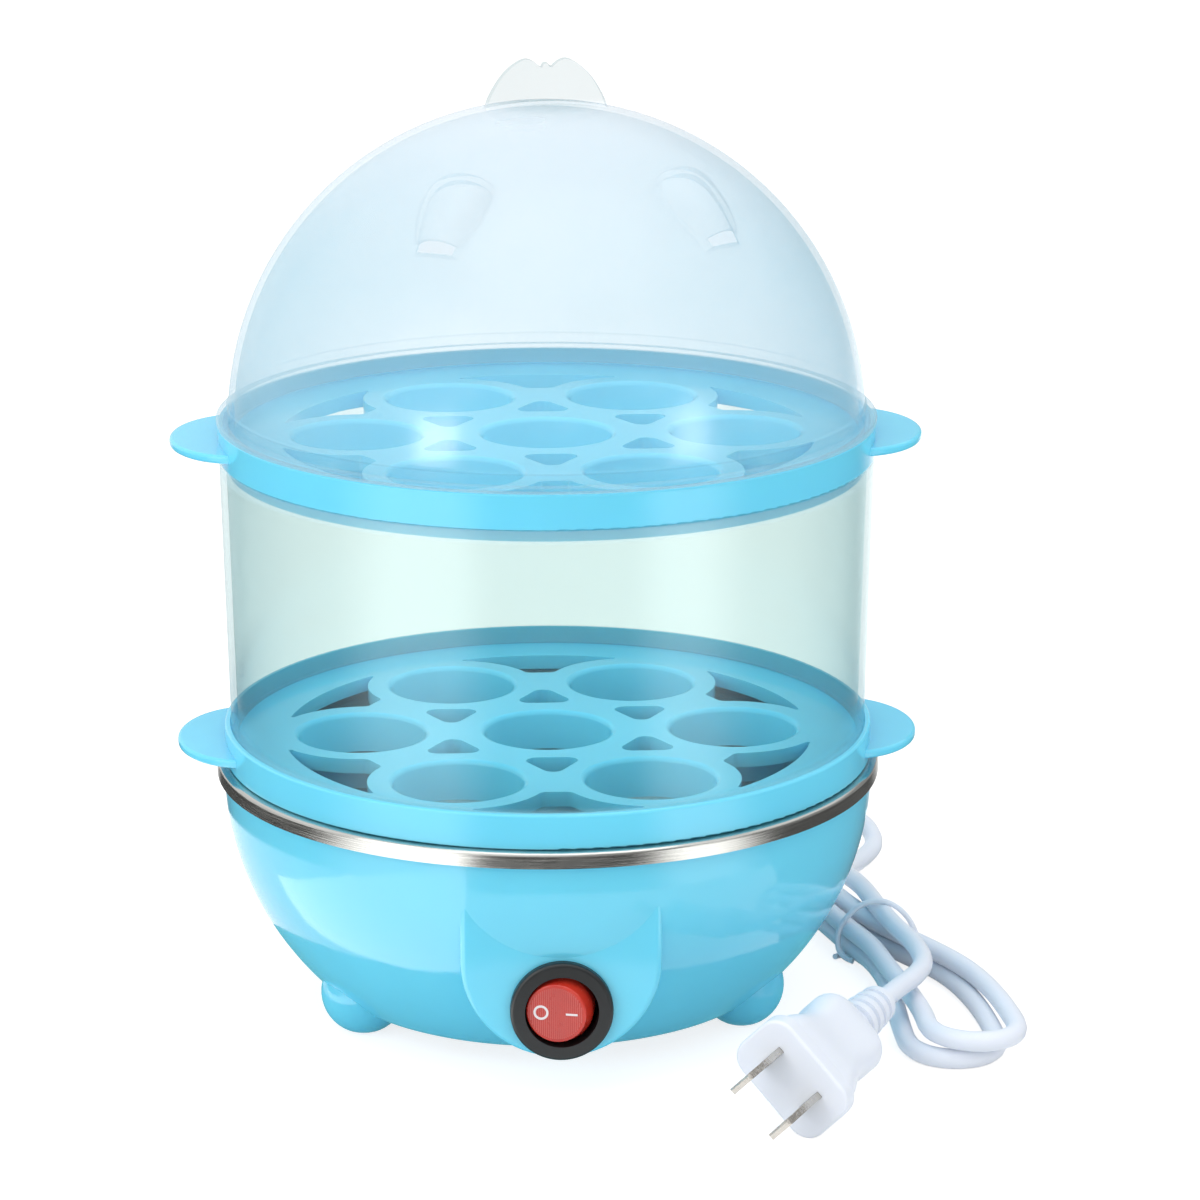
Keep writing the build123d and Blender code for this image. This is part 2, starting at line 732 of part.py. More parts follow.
def make_switch_rocker():
    """Round rocker, modelled at mid travel and tipped to OFF, left side in."""
    front_y = -boss_reach - fastener_gap - bezel_height - rocker_proud
    pivot_y = front_y + rocker_pivot_depth
    front = Plane(origin=(0, front_y, switch_z), z_dir=(0, 1, 0))
    waist_start, waist_end = rocker_waist
    outline = [
        (0, 0),
        (rocker_face_radius, 0),
        (rocker_waist_radius, waist_start),
        (rocker_waist_radius, waist_end),
        (rocker_back_radius, rocker_depth),
        (0, rocker_depth),
    ]
    cap = front * turned(outline, [(outline[1], rocker_edge)])
    hollow_y = front_y + rocker_front_wall
    back_y = front_y + rocker_depth
    hollow = rod_y(rocker_face_radius - rocker_wall, hollow_y, back_y, 0, switch_z)
    pins = disc(rocker_pin_radius, switch_z - rocker_pin_reach, switch_z + rocker_pin_reach, 0, pivot_y)
    toe = rod_y(rocker_toe_radius, hollow_y, back_y + rocker_toe_reach, 0, switch_z)
    rocker = cap + pins - hollow + toe
    return Pos(0, pivot_y, 0) * Rot(0, 0, -rocker_tilt) * Pos(0, -pivot_y, 0) * rocker


def make_switch_terminals():
    rear_y = -boss_reach - fastener_gap + barrel_depth
    half_width, half_thick = blade_width / 2, blade_thickness / 2
    blades = Part()
    for step in (-1, 0, 1):
        x = step * blade_pitch
        low_z, high_z = switch_z - half_width, switch_z + half_width
        root_y = rear_y - barrel_floor
        blades += block(x - half_thick, x + half_thick, root_y, -blade_tip_reach, low_z, high_z)
    return blades


def make_neon_lamp():
    """Glow lamp that lies across the switch, just behind the rocker."""
    floor_y = -boss_reach - fastener_gap + barrel_depth - barrel_floor
    half = lamp_length / 2
    y = floor_y - lamp_radius - fastener_gap
    return disc(lamp_radius, switch_z - half, switch_z + half, 0, y)


# ------------------------------------------------------------ trays
def drain_outline():
    """Rounded three-sided hole between the middle egg and two outer ones."""
    middle = egg_pitch / (2 * math.cos(math.radians(180 / eggs_around)))
    reach = middle - egg_hole_radius - drain_border
    corners = []
    for x, y, _ in around(3, reach):
        corners.append((x, y))
    face = make_face(Polyline(*corners, close=True))
    return fillet(face.vertices(), drain_round * reach)


def window_outline():
    """Crescent between two egg holes and the tray's edge, along +X."""
    half_step = math.radians(180 / eggs_around)
    egg_x = egg_pitch * math.cos(half_step)
    egg_y = egg_pitch * math.sin(half_step)
    side_radius = (egg_pitch - window_rib) / 2
    neck_x = egg_x + math.sqrt(side_radius ** 2 - (egg_y - window_neck_half) ** 2)
    reach = tray_radius - window_border
    low = Align.MIN, Align.CENTER
    face = Circle(reach) & Pos(neck_x, 0) * Rectangle(reach, reach, align=low)
    for side in (-1, 1):
        face -= Pos(egg_x, side * egg_y) * Circle(side_radius)
    by_x = face.vertices().sort_by(Axis.X)
    face = fillet(by_x[:2], window_round)
    tips = face.vertices().sort_by(Axis.Y)
    return fillet([tips[0], tips[-1]], window_tip)


def small_openings():
    """Drain holes and windows of one tray, each with its place."""
    half_step = 180 / eggs_around
    drain_ring = egg_pitch / (2 * math.cos(math.radians(half_step))) + drain_shift
    drain = drain_outline()
    window = window_outline()
    openings = []
    for x, y, angle in around(eggs_around, drain_ring, half_step):
        openings.append(Pos(x, y) * Rot(0, 0, angle) * drain)
    for _, _, angle in around(eggs_around, 1, half_step):
        openings.append(Rot(0, 0, angle) * window)
    return openings


def cup_cutter():
    """Space for one egg, with a rounded mouth at the web's upper face."""
    run = (egg_hole_radius - cup_foot_radius) / cup_depth
    neck = egg_hole_radius - cup_edge * run
    mouth = egg_hole_radius + cup_edge
    bow = (1 - math.sqrt(0.5)) * cup_edge
    curve = ThreePointArc((mouth, 0), (egg_hole_radius + bow, -bow), (neck, -cup_edge))
    low, high = -cup_depth - 1, 1
    foot = cup_foot_radius - run
    sides = Polyline((neck, -cup_edge), (foot, low), (0, low), (0, high), (mouth, high), (mouth, 0))
    return revolve(Plane.XZ * make_face(curve + sides), Axis.Z)


def make_tray(web_z):
    seat_z = -tray_shoulder
    spigot_z = seat_z - tray_spigot
    spigot_inner = spigot_radius - tray_spigot_wall
    outline = [
        (0, -tray_web),
        (spigot_inner, -tray_web),
        (spigot_inner, spigot_z),
        (spigot_radius, spigot_z),
        (spigot_radius, seat_z),
        (tray_radius, seat_z),
        (tray_radius, tray_lip),
        (lip_inner, tray_lip),
        (lip_inner, 0),
        (0, 0),
    ]
    corners = [(outline[6], tray_edge), (outline[5], tray_edge)]
    tray = turned(outline, corners)

    ear_low = ear_rise - ear_thickness
    wall_x = math.sqrt(tray_radius ** 2 - ear_half_width ** 2)
    stretch = (wall_x - ear_centre) / (ear_reach - ear_centre)
    ear_half = ear_half_width / math.sqrt(1 - stretch ** 2)
    ears = Part()
    for side in (-1, 1):
        oval = Pos(side * ear_centre, 0) * Ellipse(ear_reach - ear_centre, ear_half)
        ear = Pos(0, 0, ear_low) * extrude(oval, ear_thickness)
        ears += fillet(ear.edges().filter_by(GeomType.ELLIPSE), ear_edge)
    tray += ears - disc(tray_radius - ear_bite, ear_low, ear_rise)

    places = [(0.0, 0.0, 0.0)] + around(eggs_around, egg_pitch)
    cup_height = cup_depth - tray_skin
    cup = Cone(cup_foot_radius + cup_wall, egg_hole_radius + cup_wall, cup_height)
    for x, y, _ in places:
        tray += Pos(x, y, -tray_skin - cup_height / 2) * cup
    openings = small_openings()
    for opening in openings:
        skirt = offset(opening, skirt_wall)
        tray += Pos(0, 0, -skirt_depth) * extrude(skirt, skirt_depth - tray_skin)
    for opening in openings:
        tray -= Pos(0, 0, -skirt_depth) * extrude(opening, skirt_depth)
    cutter = cup_cutter()
    for x, y, _ in places:
        tray -= Pos(x, y, 0) * cutter
    return Pos(0, 0, web_z) * tray


def make_clear_ring():
    outline = [
        (ring_bottom_radius - ring_wall, ring_bottom_z),
        (ring_bottom_radius, ring_bottom_z),
        (ring_top_radius, ring_top_z),
        (ring_top_radius - ring_wall, ring_top_z),
    ]
    corners = [(point, ring_edge) for point in outline]
    return turned(outline, corners)


# ------------------------------------------------------------ lid
def vent_spindle(shrink, tail):
    """Body of revolution whose upper part swells out of the dome; its axis is Z here."""
    crest = vent_axis_depth + vent_bulge - shrink
    top = vent_half_length - shrink
    low = -vent_half_length + 1 - tail
    curve = Spline(
        (0.50 * crest, top),
        (0.93 * crest, 0.68 * top),
        (crest, 0.2 * top),
        (0.93 * crest, -0.4 * top),
        (0.75 * crest, low),
    )
    sides = Polyline((0.75 * crest, low), (0, low), (0, top), (0.50 * crest, top))
    return revolve(Plane.XZ * make_face(curve + sides), Axis.Z)


def vent_place(side):
    """Plane on the dome whose Z runs up along the surface and whose -Y points out."""
    azimuth = math.radians(side * vent_azimuth)
    rise = math.radians(vent_elevation)
    out = Vector(math.sin(azimuth) * math.cos(rise), -math.cos(azimuth) * math.cos(rise), math.sin(rise))
    across = Vector(math.cos(azimuth), math.sin(azimuth), 0)
    centre = Vector(0, 0, lid_centre_z) + out * (lid_radius - vent_axis_depth)
    return Plane(origin=centre, x_dir=across, z_dir=out.cross(across))


def comb_form():
    """Two-lobed grip on the crown, thinner towards its top."""
    apex_z = lid_centre_z + lid_radius
    side_curve = [
        (1.41, -0.50), (1.38, -0.03), (1.21, 0.34), (0.96, 0.69),
        (0.66, 0.93), (0.44, 1.0), (0.26, 0.93), (0.14, 0.82),
    ]
    right = [(x * comb_height, apex_z + z * comb_height) for x, z in side_curve]
    left = [(-x, z) for x, z in reversed(right)]
    outline = Spline(*right) + Line(right[-1], left[0]) + Spline(*left) + Line(left[-1], right[0])
    face = make_face(outline)
    face += Pos(0, apex_z + 0.82 * comb_height) * Circle(comb_nub)
    slab = extrude(Plane.XZ * face, comb_base_half, both=True)
    root_z = apex_z - 0.5 * comb_height
    tip_z = apex_z + 1.1 * comb_height
    wedge = make_face(Polyline(
        (-comb_base_half, root_z), (comb_base_half, root_z),
        (comb_top_half, tip_z), (-comb_top_half, tip_z), close=True,
    ))
    return slab & extrude(Plane.YZ * wedge, 2 * comb_height, both=True)


def lid_bead_ring(bead_z):
    """Low ridge that runs round the dome at one height."""
    lift = bead_z - lid_centre_z
    surface = math.sqrt(lid_radius ** 2 - lift ** 2)
    half = lid_bead_width / 2
    crest = surface + lid_bead
    root = surface - lid_wall / 2
    outline = [
        (root, bead_z - half),
        (surface, bead_z - half),
        (crest, bead_z),
        (surface, bead_z + half),
        (root, bead_z + half),
    ]
    return turned(outline)


def make_dome_lid():
    skirt_z = lid_flange_z - lid_skirt
    inner_radius = lid_radius - lid_wall
    centre = Pos(0, 0, lid_centre_z)
    low = Align.CENTER, Align.CENTER, Align.MIN
    outside = centre * Sphere(lid_radius, arc_size1=0, align=low)
    outside += disc(lid_radius, skirt_z, lid_centre_z)
    inside = centre * Sphere(inner_radius, arc_size1=0, align=low)
    inside += disc(inner_radius, skirt_z, lid_centre_z)
    bead_z = lid_flange_z + lid_flange + lid_bead_rise
    outside += lid_bead_ring(bead_z)
    flange = disc(tray_radius + lid_flange_overhang, lid_flange_z, lid_flange_z + lid_flange)
    outside += fillet(flange.edges().group_by(Axis.Z)[-1], lid_edge)
    outside += comb_form()
    for side in (-1, 1):
        outside += vent_place(side) * vent_spindle(0, 0)
        inside += vent_place(side) * vent_spindle(vent_wall, vent_cut)
    return Rot(0, 0, lid_turn) * (outside - inside)


# ------------------------------------------------------------ cord entry
def make_cord_strain_relief():
    """Moulded sleeve: collar inside, neck in the wall, flange and ribbed taper outside."""
    neck_radius = gland_hole - fastener_gap
    inner_y = gland_pad_reach - gland_pad_depth - fastener_gap
    flange_y = gland_pad_reach + fastener_gap
    taper_y = flange_y + relief_flange
    relief = rod_y(relief_collar_radius, inner_y - relief_collar, inner_y, 0, cord_z)
    relief += rod_y(neck_radius, inner_y, flange_y, 0, cord_z)
    flange = rod_y(relief_flange_radius, flange_y, taper_y, 0, cord_z)
    relief += fillet(flange.edges().group_by(Axis.Y)[-1], relief_edge)
    root = Plane(origin=(0, taper_y, cord_z), z_dir=(0, 1, 0))
    tip = root.offset(relief_reach - taper_y)
    core_radius = relief_root_radius - relief_core_step
    relief += loft([root * Circle(core_radius), tip * Circle(relief_tip_radius)])
    spacing = (relief_reach - taper_y) / (relief_rings + 1)
    last_radius = relief_tip_radius + relief_ring_rise
    for step in range(1, relief_rings + 1):
        share = step / (relief_rings + 1)
        radius = relief_root_radius + (last_radius - relief_root_radius) * share
        middle = taper_y + spacing * step
        relief += rod_y(radius, middle - spacing / 4, middle + spacing / 4, 0, cord_z)
    return relief


def make_cord_tail():
    start_y = gland_pad_reach - gland_pad_depth - fastener_gap - relief_collar
    return rod_y(cord_radius, tail_end, start_y - fastener_gap, 0, cord_z)


def make_cord_clamp():
    bar = SlotOverall(2 * (clamp_pillar_x + clamp_pillar_radius), 2 * clamp_pillar_radius)
    for side in (-1, 1):
        bar -= Pos(side * clamp_pillar_x, 0) * Circle(screw_radius + fastener_gap)
    return Pos(0, clamp_y, clamp_bar_z) * extrude(bar, clamp_bar)


def make_clamp_screws():
    """Screws driven down through the clamp bar."""
    seat_z = clamp_bar_z + clamp_bar + fastener_gap
    screws = Part()
    for side in (-1, 1):
        x = side * clamp_pillar_x
        head = disc(screw_head_radius, seat_z, seat_z + screw_head, x, clamp_y)
        head = fillet(head.edges().group_by(Axis.Z)[-1], screw_head_edge)
        screws += head + disc(screw_radius, seat_z - clamp_screw_length, seat_z, x, clamp_y)
    return screws


# ------------------------------------------------------------ wiring inside the bowl
def wire_routes():
    """Each conductor's route, from end face to end face."""
    _, pin_x, element_y = element_path()
    pin_y = element_y - fastener_gap - element_pin_length - fastener_gap
    blade_y = -blade_tip_reach + fastener_gap
    tail_y = tail_end - fastener_gap
    cord_half = wire_radius + wire_gap
    blade_x = thermostat_blade_x
    blade_z = thermostat_bottom_z - thermostat_blade - fastener_gap
    fuse_x = fuse_lead_end + fastener_gap
    lamp_z = element_z - element_pin_radius - fastener_gap
    lamp_y = pin_y + lamp_joint
    z, f, e = switch_z, fuse_z, element_z
    return {
        "live_wire": [
            (cord_half, tail_y, cord_z), (cord_half, 30, cord_z), (8, 16, 17.5), (12, -2, 13.5),
            (11, -20, 14), (6.5, -34, 18), (blade_pitch, -41, z), (blade_pitch, blade_y, z),
        ],
        "neutral_wire": [
            (-cord_half, tail_y, cord_z), (-cord_half, 30, cord_z), (-9, 16, 14), (-17, -1, 9.5),
            (-18, -20, 9.5), (-15.5, -36, 12), (-12.5, -47, 17), (-pin_x, -52, 26),
            (-pin_x, -51.5, 34.5), (-pin_x, -46.5, e), (-pin_x, pin_y, e),
        ],
        "switch_wire": [
            (0, blade_y, z), (0, -40, 21.5), (1.5, -26, 16.5), (3.8, -11, 11.5),
            (blade_x, 0, 12.5), (blade_x, 0, blade_z),
        ],
        "fuse_wire": [
            (-blade_x, 0, blade_z), (-blade_x, 0, 15.5), (-9.5, 6, 14.5), (-14.5, 11.5, 20),
            (-15.2, fuse_y, 30), (-15.2, fuse_y, f), (-fuse_x, fuse_y, f),
        ],
        "element_wire": [
            (fuse_x, fuse_y, f), (15.2, fuse_y, f), (15.2, fuse_y, 30), (18.5, 3, 21),
            (20, -13, 17.5), (18.5, -29, 18.5), (14.5, -43, 22), (pin_x, -51, 28),
            (pin_x, -51.5, 35), (pin_x, -46.5, e), (pin_x, pin_y, e),
        ],
        "lamp_wire": [
            (-blade_pitch, blade_y, z), (-blade_pitch, -44, z), (-9, -38.5, 24.5),
            (-pin_x, lamp_y, 31), (-pin_x, lamp_y, lamp_z),
        ],
    }


# ------------------------------------------------------------ free lead behind and beside the bowl
# The route lies on the ground: a wide turn behind the bowl, then a tied hank along its right
# side, then a short end to the plug.
lead_route = [
    (0.0, relief_reach, cord_z), (0.0, 113.5, cord_z), (3.4, 127.0, 21.4), (12.6, 137.6, 17.2),
    (26.0, 142.2, 12.6), (40.0, 139.4, 8.2), (50.6, 129.6, 4.6), (55.4, 116.6, 2.6),
    (55.4, 104.0, 2.6),
]
plug_lead_rise = 15.2       # straight on from the hank's top strand
plug_lead_run = 13.0        # straight run into the plug
hank_outline = [
    (79.5, 7.8), (79.3, -16.2), (80.9, -42.3), (87.1, -57.6), (97.0, -60.2), (104.4, -52.5),
    (108.3, -35.7), (106.2, -17.6), (98.3, 2.9), (92.8, 13.2), (90.0, 35.3), (86.5, 65.6),
    (84.3, 104.0), (43.4, 104.0), (64.0, 36.7), (72.7, 11.2),
]
hank_height = 8.4
hank_edge = 0.8
hank_ridge = [
    (84.3, 4.1, 10.9), (81.4, 15.0, 10.4), (80.2, 34.0, 9.8), (78.0, 58.0, 8.6), (76.0, 84.0, 7.0),
]
plug_lead_bend = (87.8, -25.2, 12.6)
tie_y = 14.5
tie_thickness = 1.4
tie_width = 2.0


def make_cord_lead():
    return lead(lead_route, cord_radius)


def hank_span():
    """X range that holds the whole hank."""
    across = [x for x, _ in hank_outline]
    return min(across), max(across)


def tie_groove(gap, height):
    """Block that spans the hank where the tie goes round it."""
    half = tie_width / 2 + gap
    return block(*hank_span(), tie_y - half, tie_y + half, 0, height)


def make_cord_hank():
    """Outer form of the tied hank, with its top strand."""
    outline = make_face(Polyline(*hank_outline, close=True))
    slab = extrude(fillet(outline.vertices(), hank_edge), hank_height)
    slab += lead(hank_ridge, cord_radius)
    return slab - tie_groove(seat_gap, tie_thickness + seat_gap)


def make_cord_tie():
    """Twisted wire tie, one loop round the hank."""
    y0, y1 = tie_y - tie_width / 2, tie_y + tie_width / 2
    section = make_cord_hank() & block(*hank_span(), y0, y1, 0, 2 * hank_height)
    box = section.bounding_box()
    x0, x1, z1 = box.min.X - seat_gap, box.max.X + seat_gap, box.max.Z + seat_gap
    outer = block(x0 - tie_thickness, x1 + tie_thickness, y0, y1, 0, z1 + tie_thickness)
    return outer - block(x0, x1, y0, y1, tie_thickness, z1)


# ------------------------------------------------------------ plug
def plug_frame():
    """Plane on the plug's front face: X along its long side, Z where the pins point."""
    heading = math.radians(plug_heading)
    roll = math.radians(plug_roll)
    pins = Vector(math.cos(heading), math.sin(heading), 0)
    level = Vector(-math.sin(heading), math.cos(heading), 0)
    wide = level * math.cos(roll) - Vector(0, 0, math.sin(roll))
    reach_wide = (plug_width / 2 - plug_corner) * math.sin(roll)
    reach_high = (plug_height / 2 - plug_corner) * math.cos(roll)
    centre_z = reach_wide + reach_high + plug_corner
    return Plane(origin=(plug_x, plug_y, centre_z), x_dir=wide, z_dir=pins)


def plug_lead_route():
    """From the hank's top strand to the plug, arriving in line with the plug."""
    plug = plug_frame()
    first, second = Vector(*hank_ridge[0]), Vector(*hank_ridge[1])
    onward = (first - second).normalized()
    start = first + onward * fastener_gap
    turn = first + onward * plug_lead_rise
    route = [(start.X, start.Y, start.Z), (turn.X, turn.Y, turn.Z), plug_lead_bend]
    for back in (plug_relief_end + plug_lead_run, plug_relief_end):
        spot = plug.origin - plug.z_dir * back
        route.append((spot.X, spot.Y, spot.Z))
    return route


def make_plug_body():
    flange = extrude(RectangleRounded(plug_width, plug_height, plug_corner), -plug_flange)
    flange = fillet(flange.edges().group_by(Axis.Z)[-1], plug_edge)
    sections = []
    for back, width, height in plug_sections:
        sections.append(Pos(0, 0, -back) * RectangleRounded(width, height, plug_body_corner))
    body = flange + loft(sections)
    body_end = plug_sections[-1][0]
    neck = Pos(0, 0, -body_end) * Circle(plug_relief_radius)
    tip = Pos(0, 0, -plug_relief_end) * Circle(cord_radius + plug_tip_wall)
    body += loft([neck, tip])
    spacing = (plug_relief_end - body_end) / (plug_relief_rings + 0.5)
    for step in range(plug_relief_rings):
        radius = plug_ring_radius - plug_ring_step * step
        low = -body_end - spacing * (step + 1)
        body += disc(radius, low, low + spacing / 2)
    slot = Pos(0, 0, -pin_root) * Box(
        pin_thickness + 2 * fastener_gap, pin_width + 2 * fastener_gap, pin_root,
        align=(Align.CENTER, Align.CENTER, Align.MIN),
    )
    for side in (-1, 1):
        body -= Pos(side * pin_pitch / 2, 0, 0) * slot
    return plug_frame() * body


def make_plug_pins():
    pins = Part()
    for side in (-1, 1):
        pin = Pos(side * pin_pitch / 2, 0, -pin_root + fastener_gap) * Box(
            pin_thickness, pin_width, pin_root + pin_length,
            align=(Align.CENTER, Align.CENTER, Align.MIN),
        )
        pin = chamfer(pin.faces().sort_by(Axis.Z)[-1].edges(), pin_chamfer)
        hole = Rot(0, 90, 0) * Cylinder(pin_hole_radius, 2 * pin_width)
        pins += pin - Pos(side * pin_pitch / 2, 0, pin_length - pin_hole_back) * hole
    return plug_frame() * pins


# ------------------------------------------------------------ all pieces, by node name
def make_parts():
    parts = {
        "base_housing": make_base_housing(),
        "bottom_cover": make_bottom_cover(),
        "cover_screws": make_cover_screws(),
        "pan_screws": make_pan_screws(),
        "pan_standoffs": make_pan_standoffs(),
        "heater_pan": make_heater_pan(),
        "heat_plate": make_heat_plate(),
        "heating_element": make_heating_element(),
        "element_seals": make_element_seals(),
        "element_pins": make_element_pins(),
        "thermostat": make_thermostat(),
        "thermostat_bracket": make_thermostat_bracket(),
        "plate_screws": make_plate_screws(),
        "thermal_fuse": make_thermal_fuse(),
        "fuse_clip": make_fuse_clip(),
        "switch_body": make_switch_body(),
        "switch_rocker": make_switch_rocker(),
        "switch_terminals": make_switch_terminals(),
        "neon_lamp": make_neon_lamp(),
        "lower_tray": make_tray(lower_web_z),
        "clear_ring": make_clear_ring(),
        "upper_tray": make_tray(upper_web_z),
        "dome_lid": make_dome_lid(),
        "cord_strain_relief": make_cord_strain_relief(),
        "cord_tail": make_cord_tail(),
        "cord_clamp": make_cord_clamp(),
        "clamp_screws": make_clamp_screws(),
        "cord_lead": make_cord_lead(),
        "cord_hank": make_cord_hank(),
        "cord_tie": make_cord_tie(),
        "plug_lead": lead(plug_lead_route(), cord_radius),
        "plug_body": make_plug_body(),
        "plug_pins": make_plug_pins(),
    }
    for name, route in wire_routes().items():
        parts[name] = lead(route, wire_radius)
    return parts


if __name__ == "__main__":
    os.makedirs("parts", exist_ok=True)
    for name, part in make_parts().items():
        export_step(part, f"parts/{name}.step")
    for name, route in (("cord_lead", lead_route), ("plug_lead", plug_lead_route())):
        radii = ", ".join(f"{radius:.1f}" for radius in bend_radii(route))
        print(f"{name} bend radii: {radii}")
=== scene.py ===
import json
import math

import bmesh
import bpy
from mathutils import Matrix, Vector


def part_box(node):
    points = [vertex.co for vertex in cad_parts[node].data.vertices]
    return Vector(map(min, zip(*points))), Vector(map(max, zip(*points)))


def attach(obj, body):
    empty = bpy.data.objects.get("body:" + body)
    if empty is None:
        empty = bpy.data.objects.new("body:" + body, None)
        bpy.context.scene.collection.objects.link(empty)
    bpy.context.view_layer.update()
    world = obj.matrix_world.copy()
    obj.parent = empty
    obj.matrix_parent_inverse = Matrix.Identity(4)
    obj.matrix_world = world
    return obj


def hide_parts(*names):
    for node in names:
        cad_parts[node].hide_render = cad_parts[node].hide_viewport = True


# Metres throughout, and millimetres where a name ends in MM or _mm. Z is up, -Y is the front.
MM = 0.001
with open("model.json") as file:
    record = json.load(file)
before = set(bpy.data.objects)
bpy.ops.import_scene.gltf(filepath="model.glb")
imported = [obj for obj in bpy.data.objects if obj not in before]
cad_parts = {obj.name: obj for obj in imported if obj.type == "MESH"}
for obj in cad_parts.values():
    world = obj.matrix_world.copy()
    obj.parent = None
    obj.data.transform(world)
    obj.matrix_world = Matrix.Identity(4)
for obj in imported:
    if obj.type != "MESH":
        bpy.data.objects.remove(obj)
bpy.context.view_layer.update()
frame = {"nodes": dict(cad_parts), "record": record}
nodes = frame["nodes"]

# Heights that materials change at, from and to: the lid's painted light over its top and painted shade in its comb,
# and the ring's haze in its rims.
PAINTED_LIGHT_Z = (0.180, 0.210)
PAINTED_COMB_SHADE_Z = (0.2122, 0.2138)
RING_TOP_RIM_Z = (0.1293, 0.1299)
RING_LOW_RIM_Z = (0.0693, 0.0686)


# ---------------------------------------------------------------- material helpers
class Nodes:
    """Small builder for the node tree of a material, or of the world."""

    def __init__(self, name, owner=None, out="ShaderNodeOutputMaterial"):
        self.owner = owner or bpy.data.materials.new(name)
        self.owner.use_nodes = True
        self.tree = self.owner.node_tree
        self.tree.nodes.clear()
        self.out = self.add(out)
        self.coord = self.add("ShaderNodeTexCoord").outputs["Object"]

    def add(self, kind, **values):
        node = self.tree.nodes.new(kind)
        for key, value in values.items():
            setattr(node, key, value)
        return node

    def link(self, a, b):
        self.tree.links.new(a, b)

    def feed(self, socket, value):
        """Links an output to the socket, or sets the socket to a number or colour."""
        if isinstance(value, bpy.types.NodeSocket):
            self.link(value, socket)
        elif isinstance(value, tuple):
            socket.default_value = (*value, 1)
        else:
            socket.default_value = value

    def calc(self, operation, *values):
        node = self.add("ShaderNodeMath", operation=operation)
        for socket, value in zip(node.inputs, values):
            self.feed(socket, value)
        return node.outputs[0]

    def split(self):
        """X, Y and Z of the point on the piece."""
        node = self.add("ShaderNodeSeparateXYZ")
        self.link(self.coord, node.inputs[0])
        return node.outputs

    def facing(self, blend):
        node = self.add("ShaderNodeLayerWeight")
        node.inputs["Blend"].default_value = blend
        return node.outputs["Facing"]

    def noise(self, scale, detail, stretch=None):
        node = self.add("ShaderNodeTexNoise")
        node.inputs["Scale"].default_value = scale
        node.inputs["Detail"].default_value = detail
        source = self.coord
        if stretch:
            mapping = self.add("ShaderNodeMapping")
            mapping.inputs["Scale"].default_value = stretch
            self.link(self.coord, mapping.inputs["Vector"])
            source = mapping.outputs["Vector"]
        self.link(source, node.inputs["Vector"])
        return node.outputs["Fac"]

    def ramp(self, fac, low, high, a, b):
        """Maps fac from low..high to a..b."""
        node = self.add("ShaderNodeMapRange")
        self.link(fac, node.inputs["Value"])
        for key, value in (("From Min", low), ("From Max", high), ("To Min", a), ("To Max", b)):
            self.feed(node.inputs[key], value)
        return node.outputs["Result"]

    def tint(self, fac, a, b):
        """Colour that goes from a to b with fac."""
        node = self.add("ShaderNodeMix", data_type="RGBA")
        self.link(fac, node.inputs["Factor"])
        self.feed(node.inputs[6], a)
        self.feed(node.inputs[7], b)
        return node.outputs[2]

    def bump(self, height, strength, distance):
        node = self.add("ShaderNodeBump")
        node.inputs["Strength"].default_value = strength
        node.inputs["Distance"].default_value = distance
        self.link(height, node.inputs["Height"])
        return node.outputs["Normal"]

    def schlick(self, facing_on, edge_on):
        """Reflection share, the same from both sides of a thin wall."""
        return self.ramp(self.calc("POWER", self.facing(0.5), 5.0), 0, 1, facing_on, edge_on)

    def principled(self, color, roughness, **sockets):
        """Principled shader. A socket's name has _ for each space."""
        node = self.add("ShaderNodeBsdfPrincipled")
        self.feed(node.inputs["Base Color"], color)
        self.feed(node.inputs["Roughness"], roughness)
        for key, value in sockets.items():
            node.inputs[key.replace("_", " ")].default_value = value
        return node

    def shader(self, kind, color, **sockets):
        """Output of a plain shader, such as BsdfDiffuse, Emission or Background."""
        node = self.add("ShaderNode" + kind)
        self.feed(node.inputs["Color"], color)
        for key, value in sockets.items():
            self.feed(node.inputs[key], value)
        return node.outputs[0]

    def mix(self, share, a, b):
        node = self.add("ShaderNodeMixShader")
        for socket, value in zip(node.inputs, (share, a, b)):
            self.feed(socket, value)
        return node.outputs[0]

    def finish(self, shader):
        self.link(shader, self.out.inputs["Surface"])
        return self.owner


def moulded(name, color, roughness, deep=0.9, wave=0.02, grain=0.05, **sockets):
    """Injection-moulded plastic: a hair of tone change, an uneven gloss and a faint waviness."""
    n = Nodes(name)
    shader = n.principled(color, roughness, **sockets)
    cloud = n.noise(38, 2)
    shade = tuple(c * deep for c in color)
    n.link(n.tint(n.ramp(cloud, 0.3, 0.7, 0, 1), shade, color), shader.inputs["Base Color"])
    fine = n.noise(420, 4)
    n.link(n.ramp(fine, 0.25, 0.75, roughness * 0.82, roughness * 1.2), shader.inputs["Roughness"])
    relief = n.calc("ADD", n.ramp(cloud, 0, 1, 0, wave), n.ramp(fine, 0, 1, 0, grain * 0.02))
    n.link(n.bump(relief, 0.35, 0.01), shader.inputs["Normal"])
    return n.finish(shader.outputs[0])


def blue_plastic():
    """Glossy sky-blue polypropylene of the bowl and trays."""
    return moulded(
        "blue_plastic", (0.175, 0.715, 0.965), 0.10, deep=0.95, wave=0.012, grain=0.02,
        Subsurface_Weight=0.2, Subsurface_Radius=(0.004, 0.008, 0.012), Subsurface_Scale=0.4,
    )


